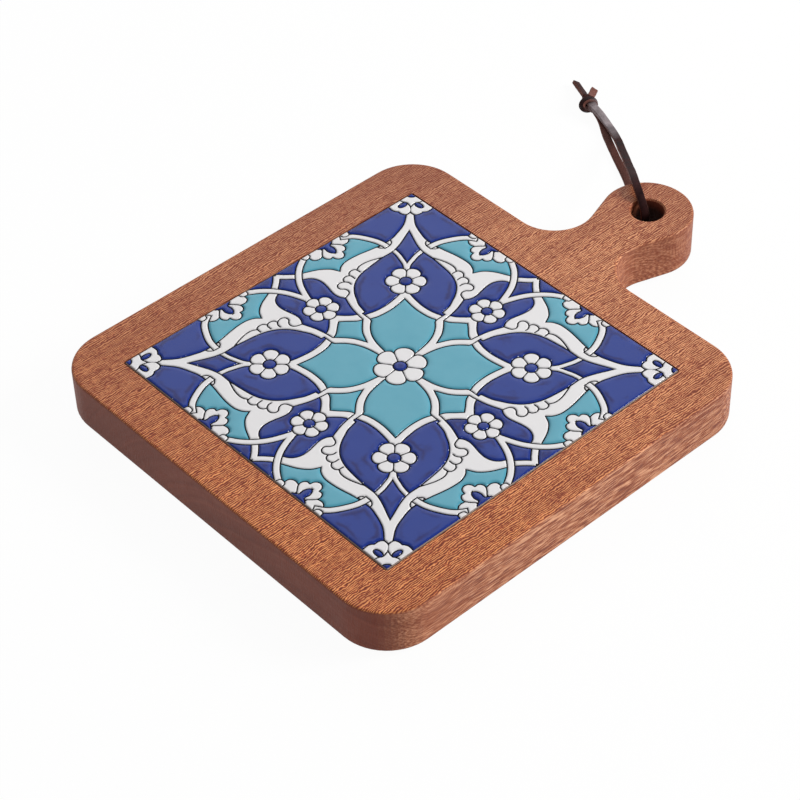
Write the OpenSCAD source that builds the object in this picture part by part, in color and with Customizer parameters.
// Table trivet: a wooden paddle board with an inlaid glazed tile, rubber feet and a leather hanging lace.
// Millimetres. +X runs along the handle, +Z is up, and the feet stand on z = 0.

/* [Board] */
// Side of the square body
board_side = 190; // [170:1:240]
// Thickness of the board
board_t = 20; // [14:0.5:30]
// Radius of the body's corners seen from above
corner_r = 21; // [6:0.5:40]
// Easing radius of every outer edge
edge_r = 1; // [0.4:0.1:2.5]

/* [Handle] */
// Length of the handle from the body to its tip
handle_len = 60; // [56:1:90]
// Radius of the handle's round end
handle_end_r = 18.75; // [15:0.25:20]
// Width of the neck at its narrowest
neck_w = 25.2; // [20:0.2:30]
// Radius of the hollow curve between the body and the neck, as a share of the handle's free length
neck_fillet_share = 0.756; // [0.5:0.002:0.8]
// Diameter of the hanging hole
hole_d = 14; // [12:0.5:20]
// Chamfer at both mouths of the hanging hole
hole_chamfer = 0.6; // [0.2:0.1:1.5]

/* [Tile] */
// Side of the square tile
tile_side = 149; // [110:1:152]
// Thickness of the fired clay body
tile_t = 5; // [4:0.5:8]
// Easing radius of the tile's edges
tile_edge_r = 0.4; // [0.2:0.1:0.8]
// Gap between the tile and each wall of its pocket
pocket_gap = 0.5; // [0.2:0.1:1.5]
// Radius in the pocket's corners
pocket_corner_r = 1.5; // [0.5:0.1:3]
// Thickness of the adhesive bed under the tile
adhesive_t = 1; // [0.5:0.1:2]
// Distance from the adhesive's edge to the tile's edge
adhesive_inset = 6; // [2:0.5:20]

/* [Glaze] */
// Thickness of the dark outline print that carries the glaze
print_t = 0.1; // [0.05:0.05:0.3]
// Distance from the outline print's edge to the tile's edge
print_inset = 0.4; // [0.3:0.1:1]
// Height of the glaze pools above the outline print
glaze_t = 0.5; // [0.3:0.1:1]
// Width of the dark line left between two glaze pools
line_w = 0.56; // [0.3:0.02:0.9]

/* [Feet] */
// Diameter of a bumper foot at its base on the board
foot_d = 12; // [8:0.5:20]
// Height of a bumper foot
foot_h = 2.5; // [2:0.1:5]
// Distance from the body's sides to the centre of a foot
foot_inset = 22; // [12:1:40]
// Slope of a foot's wall, as the step in radius from base to tip
foot_taper = 1; // [0.3:0.1:2]

/* [Lace] */
// Width of the flat leather lace
lace_w = 3.3; // [2.5:0.1:4]
// Thickness of the lace
lace_t = 1.7; // [1:0.1:2]
// Diameter of the knot
knot_d = 7.8; // [7:0.2:9]
// Length of the knot along the lace
knot_len = 7.2; // [6:0.2:10]

/* [Hidden] */

$fn = 48;
// Extra reach of every cut past the face it opens
overrun = 0.5;
// Segments on a body corner, a neck curve, the handle's end and an eased edge
corner_segments = 14;
neck_segments = 14;
end_segments = 36;
edge_segments = 3;

// Places worked out from the sizes above
body_half = board_side / 2;
body_x = -handle_len / 2;
board_z = foot_h;
board_top = board_z + board_t;
handle_end_x = body_x + body_half + handle_len - handle_end_r;
pocket_side = tile_side + 2 * pocket_gap;
tile_z = board_top - tile_t;
adhesive_z = tile_z - adhesive_t;
tile_half = tile_side / 2;

// The handle's free length is what its round end leaves of it
neck_fillet_r = neck_fillet_share * (handle_len - 2 * handle_end_r);
// The neck's hollow curve runs into the round end along the straight line that touches both circles
fillet_x = body_x + body_half + neck_fillet_r;
fillet_y = neck_w / 2 + neck_fillet_r;
fillet_dx = handle_end_x - fillet_x;
// Just inside the body's side, where the neck starts
neck_root_x = body_x + body_half - 3 * edge_r;
fillet_line = atan2(-fillet_y, fillet_dx)
    - acos((neck_fillet_r + handle_end_r) / norm([fillet_dx, fillet_y]));

// Points of an arc about a centre, from one angle to another
function arc(centre, r, from, to, n) =
    [for (k = [0 : n]) let (a = from + (to - from) * k / n) centre + r * [cos(a), sin(a)]];

// Outline of a rounded square about a centre, drawn in by an inset
function square_outline(centre, half, r, inset, n) = [for (q = [0 : 3])
    each arc(centre + (half - r) * [q == 0 || q == 3 ? 1 : -1, q < 2 ? 1 : -1],
        r - inset, 90 * q, 90 * q + 90, n)];

// Outline of the whole paddle, drawn in by an inset
function board_outline(inset) = concat(
    arc([handle_end_x, 0], handle_end_r - inset, -180 - fillet_line, 180 + fillet_line, end_segments),
    arc([fillet_x, fillet_y], neck_fillet_r + inset, fillet_line, -180, neck_segments),
    square_outline([body_x, 0], body_half, corner_r, inset, corner_segments),
    arc([fillet_x, -fillet_y], neck_fillet_r + inset, 180, -fillet_line, neck_segments));

// One eased edge as pairs of inset and depth, from the flat face to the side wall
function eased_edge(r) =
    [for (k = [0 : edge_segments]) let (a = 90 * k / edge_segments) r * [1 - sin(a), 1 - cos(a)]];

// Middle of a ring of points
function middle(ring) = [for (p = ring) 1] * ring / len(ring);

// A solid from closed rings that all have the same number of points. Its two flat ends are fans of triangles
// about a point from which the whole end is in sight.
module ring_solid(rings, end_points) {
    n = len(rings[0]);
    top = (len(rings) - 1) * n;
    ends = is_undef(end_points) ? [middle(rings[0]), middle(rings[len(rings) - 1])] : end_points;
    first_end = top + n;
    polyhedron(
        points = concat([for (ring = rings) each ring], ends),
        faces = concat(
            [for (i = [0 : n - 1]) [i, (i + 1) % n, first_end]],
            [for (j = [0 : len(rings) - 2]) for (i = [0 : n - 1]) let (next = (i + 1) % n)
                each [[j * n + i, (j + 1) * n + i, (j + 1) * n + next],
                    [j * n + i, (j + 1) * n + next, j * n + next]]],
            [for (i = [0 : n - 1]) [top + (i + 1) % n, top + i, first_end + 1]]));
}

// Puts an outline at a height
function lift(outline, z) = [for (p = outline) [p[0], p[1], z]];

module board() {
    easing = eased_edge(edge_r);
    color("#a8683f")
    difference() {
        ring_solid(
            concat(
                [for (e = easing) lift(board_outline(e[0]), board_z + e[1])],
                [for (e = reversed(easing)) lift(board_outline(e[0]), board_top - e[1])]),
            [[neck_root_x, 0, board_z], [neck_root_x, 0, board_top]]);
        pocket();
        hanging_hole();
    }
}

module pocket() {
    translate([body_x, 0, adhesive_z])
    linear_extrude(adhesive_t + tile_t + overrun) rounded_square(pocket_side, pocket_corner_r);
}

module hanging_hole() {
    mouth = hole_chamfer + overrun;
    translate([handle_end_x, 0, 0]) {
        translate([0, 0, board_z - overrun]) cylinder(d = hole_d, h = board_t + 2 * overrun);
        translate([0, 0, board_z - overrun])
        cylinder(r1 = hole_d / 2 + mouth, r2 = hole_d / 2, h = mouth);
        translate([0, 0, board_top - hole_chamfer])
        cylinder(r1 = hole_d / 2, r2 = hole_d / 2 + mouth, h = mouth);
    }
}

module rounded_square(side, r) {
    square([side, side - 2 * r], center = true);
    square([side - 2 * r, side], center = true);
    for (x = [-1, 1], y = [-1, 1])
        translate([x * (side / 2 - r), y * (side / 2 - r)]) circle(r = r);
}

module adhesive_bed() {
    color("#d8d2c4")
    translate([body_x, 0, adhesive_z])
    linear_extrude(adhesive_t) rounded_square(tile_side - 2 * adhesive_inset, adhesive_inset);
}

module tile_body() {
    easing = eased_edge(tile_edge_r);
    tile_outline = function (inset)
        square_outline([body_x, 0], tile_half, tile_edge_r * 2, inset, edge_segments);
    color("#e9e3d6")
    ring_solid(concat(
        [lift(tile_outline(0), tile_z)],
        [for (e = reversed(easing)) lift(tile_outline(e[0]), board_top - e[1])]));
}

module outline_print() {
    color("#17181c")
    translate([body_x, 0, board_top])
    linear_extrude(print_t) square(tile_side - 2 * print_inset, center = true);
}

// The design is drawn for one eighth of the tile, between its +Y axis and the diagonal.
// Every table of points holds shares of half the tile's side.

// Stem and winged leaf, edge by edge, anticlockwise from the axis
stem_inner_shares = [[-0.004, 0.245], [0.012, 0.28], [0.03, 0.318], [0.052, 0.348], [0.078, 0.376],
    [0.102, 0.4]];
stem_left_shares = [[0.104, 0.402], [0.108, 0.44], [0.119, 0.5], [0.133, 0.545], [0.15, 0.59]];
lobe_shares = [[0.15, 0.592], [0.135, 0.615], [0.128, 0.65], [0.134, 0.69], [0.143, 0.73], [0.147, 0.77],
    [0.143, 0.8], [0.13, 0.828], [0.108, 0.849], [0.08, 0.862]];
leaf_top_shares = [[0.112, 0.903], [0.15, 0.886], [0.19, 0.867], [0.225, 0.843], [0.252, 0.815],
    [0.273, 0.773]];
wing_top_shares = [[0.274, 0.774], [0.295, 0.794], [0.325, 0.808], [0.36, 0.814], [0.42, 0.811],
    [0.48, 0.801],
    [0.55, 0.788], [0.64, 0.783], [0.7, 0.797], [0.76, 0.818], [0.8, 0.84], [0.85, 0.88]];
wing_tip_shares = [[0.88, 0.88], [0.884, 0.876]];
wing_low_shares = [[0.775, 0.772], [0.74, 0.757], [0.7, 0.739], [0.66, 0.722], [0.62, 0.709], [0.58, 0.702],
    [0.52, 0.703]];
leaf_low_shares = [[0.5, 0.702], [0.44, 0.696], [0.36, 0.685], [0.3, 0.665], [0.25, 0.632], [0.21, 0.585],
    [0.185, 0.54], [0.165, 0.5], [0.151, 0.438]];
stem_right_shares = [[0.133, 0.437], [0.131, 0.372], [0.115, 0.352], [0.09, 0.328], [0.062, 0.29],
    [0.043, 0.25],
    [0.031, 0.21], [0.024, 0.17], [0.019, 0.13], [0.017, 0.1], [-0.004, 0.1]];

// Bar along the edge of the big petal, and the chevron over the lozenge
bar_low_shares = [[0.12, 0.384], [0.16, 0.368], [0.2, 0.36], [0.25, 0.357], [0.3, 0.36], [0.374, 0.372]];
bar_top_shares = [[0.432, 0.428], [0.38, 0.418], [0.34, 0.409], [0.28, 0.401], [0.24, 0.4], [0.19, 0.405],
    [0.12, 0.425]];
chevron_low_shares = [[-0.004, 0.478], [0.03, 0.45], [0.055, 0.427], [0.08, 0.408], [0.115, 0.396]];
chevron_top_shares = [[0.118, 0.446], [0.085, 0.462], [0.055, 0.488], [0.03, 0.515], [-0.004, 0.55]];

// Middle lines of the narrow bands
edge_band_shares = [[-0.005, 0.98], [0.03, 0.942], [0.075, 0.903]];
spur_band_shares = [[0.53, 0.53], [0.562, 0.575], [0.578, 0.62], [0.59, 0.66], [0.597, 0.71]];
ring_left_shares = [[-0.006, 0.7], [0.008, 0.74], [0.03, 0.8], [0.055, 0.85], [0.087, 0.895], [0.12, 0.93],
    [0.155, 0.958], [0.2, 0.985]];
ring_right_shares = [[0.46, 0.985], [0.505, 0.955], [0.535, 0.92], [0.565, 0.865], [0.583, 0.82],
    [0.591, 0.78],
    [0.593, 0.75]];

// Turquoise fields under the white bands
petal_field_shares = [[-0.004, -0.004], [0.39, -0.004], [0.39, 0.39], [0.112, 0.39], [-0.004, 0.5]];
crescent_field_shares = [[0.09, 0.88], [0.1, 0.91], [0.15, 0.95], [0.2, 0.968], [0.5, 0.965], [0.545, 0.91],
    [0.575, 0.84], [0.588, 0.77], [0.27, 0.75], [0.15, 0.85]];

// Half palmette on the tile's edge, one side of its own middle line
palmette_x_share = 0.357;
side_leaf_shares = [[0.036, 1.02], [0.04, 0.95], [0.065, 0.933], [0.088, 0.927], [0.105, 0.927],
    [0.122, 0.936],
    [0.131, 0.955], [0.127, 1.02]];
end_lobe_shares = [[0.112, 1.02], [0.118, 0.978], [0.14, 0.968], [0.16, 0.975], [0.168, 1.02]];
trefoil_low_shares = [[-0.003, 0.848], [0.016, 0.853], [0.03, 0.868], [0.034, 0.888]];
trefoil_side_shares = [[0.036, 0.889], [0.052, 0.887], [0.067, 0.9], [0.072, 0.92], [0.062, 0.942],
    [0.028, 0.98]];
trefoil_end_shares = [[-0.003, 0.98]];
palmette_eye_shares = [[-0.003, 0.904], [0.014, 0.916], [0.023, 0.945], [0.02, 0.972], [0.048, 0.99],
    [0.056, 1.02]];
palmette_eye_end_shares = [[-0.003, 1.02]];

// Quarter palmette in the tile's corner
corner_lobe_shares = [[0.83, 1.02], [0.822, 0.97], [0.826, 0.947], [0.838, 0.932]];
corner_end_shares = [[1.02, 1.02]];
corner_low_shares = [[0.837, 0.91], [0.845, 0.889], [0.86, 0.882], [0.884, 0.884]];
corner_heart_shares = [[0.914, 0.914], [0.921, 0.936], [0.924, 0.957], [0.912, 0.981], [0.908, 1.02]];

// Fine lines drawn on the leaf
curl_line_shares = [[0.148, 0.591], [0.17, 0.597], [0.191, 0.607], [0.2, 0.627], [0.193, 0.648],
    [0.179, 0.663],
    [0.178, 0.684], [0.194, 0.7], [0.217, 0.7], [0.236, 0.688], [0.246, 0.67], [0.246, 0.653]];
scallop_b_shares = [[0.233, 0.694], [0.24, 0.711], [0.26, 0.72], [0.282, 0.715], [0.291, 0.7],
    [0.291, 0.676]];
scallop_c_shares = [[0.285, 0.713], [0.3, 0.731], [0.322, 0.736], [0.343, 0.726], [0.347, 0.694]];
corner_line_shares = [[0.88, 0.88], [0.92, 0.92]];
scallop_d_shares = [[0.346, 0.72], [0.37, 0.733], [0.4, 0.736], [0.44, 0.73], [0.48, 0.717], [0.52, 0.702]];

// Rosettes: reach of the petals and radius of the dot, then where the outer ones stand
centre_rosette_shares = [0.141, 0.036];
axis_rosette_shares = [0.098, 0.03];
diagonal_rosette_shares = [0.111, 0.034];
// One side of a petal that points along +X, and the end of the line between two petals, as shares of its reach
petal_shares = [[0.62, -0.358], [0.76, -0.372], [0.9, -0.28], [0.98, -0.13], [1, 0]];
petal_line_share = 0.76;
axis_rosette_y_share = 0.613;
diagonal_rosette_share = 0.472;
corner_dot_share = 0.036;
corner_eye_shares = [0.894, 0.957, 0.03, 0.016];
clasp_shares = [0.597, 0.782, 0.044, 0.033];
band_share = 0.037;
spur_share = 0.028;
// Reach of a mask that holds the whole tile
mask_share = 1.2;
petals = 6;
centre_rosette_turn = 35;
axis_rosette_turn = 30;
diagonal_rosette_turn = 15;
dot_fn = 16;
// Points added on each span of a drawn curve
curve_steps = 2;
// Narrow cut that parts two fields of one colour before the line is opened to its full width
seam = 0.03;
// Half the width below which a field is left out
sliver = 0.25;

// Smooth curve through a list of points, with its own ends kept and some steps on each span
function curve(p, steps = curve_steps) = [for (i = [0 : len(p) - 2])
    let (a = i == 0 ? 2 * p[0] - p[1] : p[i - 1], b = p[i], c = p[i + 1],
        d = i == len(p) - 2 ? 2 * c - b : p[i + 2])
    for (k = [0 : i == len(p) - 2 ? steps : steps - 1])
        let (t = k / steps)
        b + t / 2 * (c - a + t * (2 * a - 5 * b + 4 * c - d + t * (3 * b - 3 * c + d - a)))];

// Left and right edge of a band of constant width along a curve
function side_of(path, w) = [for (i = [0 : len(path) - 1])
    let (d = path[min(i + 1, len(path) - 1)] - path[max(i - 1, 0)])
    path[i] + w / 2 / norm(d) * [-d[1], d[0]]];
function reversed(p) = [for (i = [len(p) - 1 : -1 : 0]) p[i]];
function band_outline(shares, w) = let (path = curve(shares))
    concat(side_of(path, w), reversed(side_of(path, -w)));

// Repeats one eighth of the design over the whole tile
module whole_tile() {
    for (q = [0 : 3], m = [0, 1]) rotate(90 * q) mirror([m, 0]) children();
}

module field(shares) {
    polygon(tile_half * shares);
}

module band(shares, w) {
    field(band_outline(shares, w));
}

module stem_and_leaf() {
    field(concat(curve(stem_inner_shares), curve(stem_left_shares), curve(lobe_shares), curve(leaf_top_shares),
        curve(wing_top_shares), wing_tip_shares, curve(wing_low_shares), curve(leaf_low_shares),
        curve(stem_right_shares)));
}

module fine_lines() {
    for (line = [curl_line_shares, scallop_b_shares, scallop_c_shares, scallop_d_shares, corner_line_shares])
        band(line, 2 * seam / tile_half);
}

// Fine lines between the petals of one rosette, from the dot outwards
module petal_lines(rosette_shares, turn) {
    start = tile_half * rosette_shares[1];
    for (k = [0 : petals - 1])
        rotate(turn + (k + 0.5) * 360 / petals)
        translate([start, -seam])
        square([tile_half * rosette_shares[0] * petal_line_share - start, 2 * seam]);
}

module palmette_halves() {
    for (m = [0, 1]) translate([tile_half * palmette_x_share, 0]) mirror([m, 0]) children();
}

// Ring of petals that share their sides, each with a round end
module petals(reach_share, turn) {
    side = curve(petal_shares);
    outline = concat([[0, 0]], side, [for (p = reversed(side)) [p[0], -p[1]]]);
    for (k = [0 : petals - 1])
        rotate(turn + k * 360 / petals) polygon(tile_half * reach_share * outline);
}

// Places a motif at the middle of every rosette, with its own sizes
module at_rosettes() {
    for (q = [0 : 3]) rotate(90 * q) {
        translate([0, tile_half * axis_rosette_y_share]) children(0);
        translate(tile_half * diagonal_rosette_share * [1, 1]) children(1);
    }
}

module dot(share) {
    circle(r = tile_half * share, $fn = dot_fn);
}

// Layers of the design from the ground up: each one covers those before it
LAYERS = 9;
module layer(k) {
    if (k == 0) square(tile_half * 2 * mask_share, center = true);
    if (k == 1) whole_tile() {
        field(petal_field_shares);
        field(crescent_field_shares);
    }
    if (k == 2) whole_tile() {
        field(concat(curve(bar_low_shares), curve(bar_top_shares)));
        field(concat(curve(chevron_low_shares), curve(chevron_top_shares)));
        band(edge_band_shares, band_share);
        band(spur_band_shares, spur_share);
    }
    if (k == 3) whole_tile() stem_and_leaf();
    if (k == 4) whole_tile() {
        intersection() {
            translate(tile_half * [clasp_shares[0], clasp_shares[1]])
                scale([clasp_shares[2], clasp_shares[3]]) circle(r = tile_half, $fn = dot_fn);
            field([[0, 0], [mask_share, 0], [mask_share, clasp_shares[1]], [0, clasp_shares[1]]]);
        }
        palmette_halves() field(curve(side_leaf_shares));
    }
    if (k == 5) whole_tile() {
        band(ring_left_shares, band_share);
        band(ring_right_shares, band_share);
    }
    if (k == 6) {
        whole_tile() {
            palmette_halves() {
                field(curve(end_lobe_shares));
                field(concat(curve(trefoil_low_shares), curve(trefoil_side_shares), trefoil_end_shares));
            }
            field(concat(curve(corner_lobe_shares), curve(corner_low_shares), corner_end_shares));
        }
        petals(centre_rosette_shares[0], centre_rosette_turn);
        at_rosettes() {
            petals(axis_rosette_shares[0], axis_rosette_turn);
            petals(diagonal_rosette_shares[0], diagonal_rosette_turn);
        }
    }
    if (k == 7) whole_tile() field(concat(curve(corner_heart_shares), corner_end_shares));
    if (k == 8) {
        dot(centre_rosette_shares[1]);
        at_rosettes() {
            dot(axis_rosette_shares[1]);
            dot(diagonal_rosette_shares[1]);
        }
        whole_tile() {
            palmette_halves() field(concat(curve(palmette_eye_shares), palmette_eye_end_shares));
            translate(tile_half * [1, 1]) dot(corner_dot_share);
            translate(tile_half * [corner_eye_shares[0], corner_eye_shares[1]])
                scale([corner_eye_shares[2], corner_eye_shares[3]]) circle(r = tile_half, $fn = dot_fn);
        }
    }
}

// What is left of some layers in sight, parted from everything that lies over them
module in_sight(layers) {
    for (k = layers) difference() {
        layer(k);
        offset(delta = seam) for (j = [k + 1 : 1 : LAYERS - 1]) layer(j);
    }
}

// Glaze pools of one colour: the fields in sight, drawn in so that the dark line stays open
module pools(layers) {
    translate([body_x, 0, board_top + print_t])
    linear_extrude(glaze_t)
    offset(delta = sliver)
    offset(delta = seam - line_w / 2 - sliver)
    intersection() {
        difference() {
            in_sight(layers);
            whole_tile() fine_lines();
            petal_lines(centre_rosette_shares, centre_rosette_turn);
            at_rosettes() {
                petal_lines(axis_rosette_shares, axis_rosette_turn);
                petal_lines(diagonal_rosette_shares, diagonal_rosette_turn);
            }
        }
        square(tile_side - 2 * print_inset + line_w, center = true);
    }
}

module white_glaze() { color("#eceae6") pools([2, 3, 4, 5, 6, 7]); }

module cobalt_glaze() { color("#2c3d94") pools([0, 8]); }

module turquoise_glaze() { color("#4d9fb2") pools([1]); }

// Bumper foot, wider where it is stuck to the board
module foot(side_x, side_y) {
    color("#3c3b3a")
    translate([body_x + side_x * (body_half - foot_inset), side_y * (body_half - foot_inset), 0])
    cylinder(r1 = foot_d / 2 - foot_taper, r2 = foot_d / 2, h = foot_h);
}

module foot_back_left() { foot(-1, 1); }

module foot_back_right() { foot(1, 1); }

module foot_front_left() { foot(-1, -1); }

module foot_front_right() { foot(1, -1); }

// Route of each stretch of the lace as x, y, z and the bearing of the lace's flat width.
// The stretch over the handle starts in the hanging hole and ends in the knot.
over_route = [[107.8, 2.6, 11, -27], [107.8, 2.6, 15, -27], [107.8, 2.95, 18.5, -27],
    [108.05, 4.4, 21.9, -27],
    [109, 7, 24.5, -28], [110.95, 10.4, 25.65, -30], [113.9, 14.5, 25.1, -32], [117.3, 18.5, 23.4, -36],
    [121.9, 23.6, 20.2, -39], [128.1, 31, 16.2, -40], [134.9, 39.1, 12.1, -40], [141.2, 47, 8.5, -38],
    [146.8, 54.1, 5.7, -37], [150.8, 59.8, 3.9, -34], [153.6, 64.7, 2.9, -29], [155.4, 68.7, 2.7, -24],
    [156.8, 72.4, 3.1, -17], [157.8, 76.4, 4, -13], [158.74, 80.87, 4.8, -16]];
// The stretch under the handle starts at the same place and comes out between the board and the table.
under_route = [[107.8, 2.6, 11, -27], [107.8, 2.6, 8.4, -27], [108.05, 3.1, 5.7, -27],
    [108.75, 4.5, 3.2, -28],
    [109.9, 6.6, 1.55, -29], [111.7, 9.6, 0.9, -33], [116, 15, 0.9, -37], [122, 22.1, 0.9, -39],
    [128.5, 29.4, 0.9, -37], [133.9, 36.2, 0.9, -33], [138.3, 43.4, 0.9, -29], [142.4, 50.8, 0.9, -28],
    [147.1, 58.9, 0.9, -31], [151.4, 66.1, 0.9, -31], [154.5, 71.3, 0.9, -27], [156.6, 76, 1.5, -20],
    [158.17, 81.06, 2.5, -18]];
// The two ends past the knot, and how far the long one lies turned on its edge
long_tail_route = [[160.9, 87.74, 5.2, -24], [163.2, 91.6, 3.9, -30], [166.1, 96.5, 2.5, -28],
    [168.8, 101.7, 1.6, -27]];
short_tail_route = [[162.67, 87.15, 4.2, -30], [164.6, 89, 3.1, -48], [168.2, 91.2, 1.7, -56],
    [171.9, 93.4, 0.9, -58]];
long_tail_turn = 50;
knot_place = [158.9, 84.6, 3.95];
knot_bearing = 72;
lace_steps = 2;
lace_chamfer = lace_t / 4;
wraps = 3;
wrap_segments = 5;
knot_fn = 24;

function unit(v) = v / norm(v);

function place_of(row) = [row[0], row[1], row[2]];

// Flat eight-sided section of the lace
function lace_corners(w, t, c) = [[w, -t + c], [w, t - c], [w - c, t], [-w + c, t], [-w, t - c], [-w, -t + c],
    [-w + c, -t], [w - c, -t]];

module lace_stretch(route, turn = 0) {
    line = curve(route, lace_steps);
    last = len(line) - 1;
    section = lace_corners(lace_w / 2, lace_t / 2, lace_chamfer);
    color("#4a3a33")
    ring_solid([for (i = [0 : last])
        let (along = unit(place_of(line[min(i + 1, last)]) - place_of(line[max(i - 1, 0)])),
            flat = [cos(line[i][3]), sin(line[i][3]), 0],
            level = unit(flat - (flat * along) * along),
            wide = cos(turn) * level + sin(turn) * cross(along, level),
            thick = cross(along, wide))
        [for (s = section) place_of(line[i]) + s[0] * wide + s[1] * thick]]);
}

module lace_over() { lace_stretch(over_route); }

module lace_under() { lace_stretch(under_route); }

module lace_tail_long() { lace_stretch(long_tail_route, long_tail_turn); }

module lace_tail_short() { lace_stretch(short_tail_route); }

// The knot as a round lump of wraps that lie side by side
module lace_knot() {
    wrap_r = knot_len / (2 * wraps);
    profile = concat([[0, -knot_len / 2]],
        [for (k = [0 : wraps - 1])
            each arc([knot_d / 2 - wrap_r, (2 * k + 1) * wrap_r - knot_len / 2], wrap_r, -80, 80, wrap_segments)],
        [[0, knot_len / 2]]);
    color("#4a3a33")
    translate(knot_place) rotate([90, 0, knot_bearing + 90])
    rotate_extrude($fn = knot_fn) polygon(profile);
}

board();
adhesive_bed();
tile_body();
outline_print();
white_glaze();
cobalt_glaze();
turquoise_glaze();
foot_back_left();
foot_back_right();
foot_front_left();
foot_front_right();
lace_over();
lace_under();
lace_knot();
lace_tail_long();
lace_tail_short();
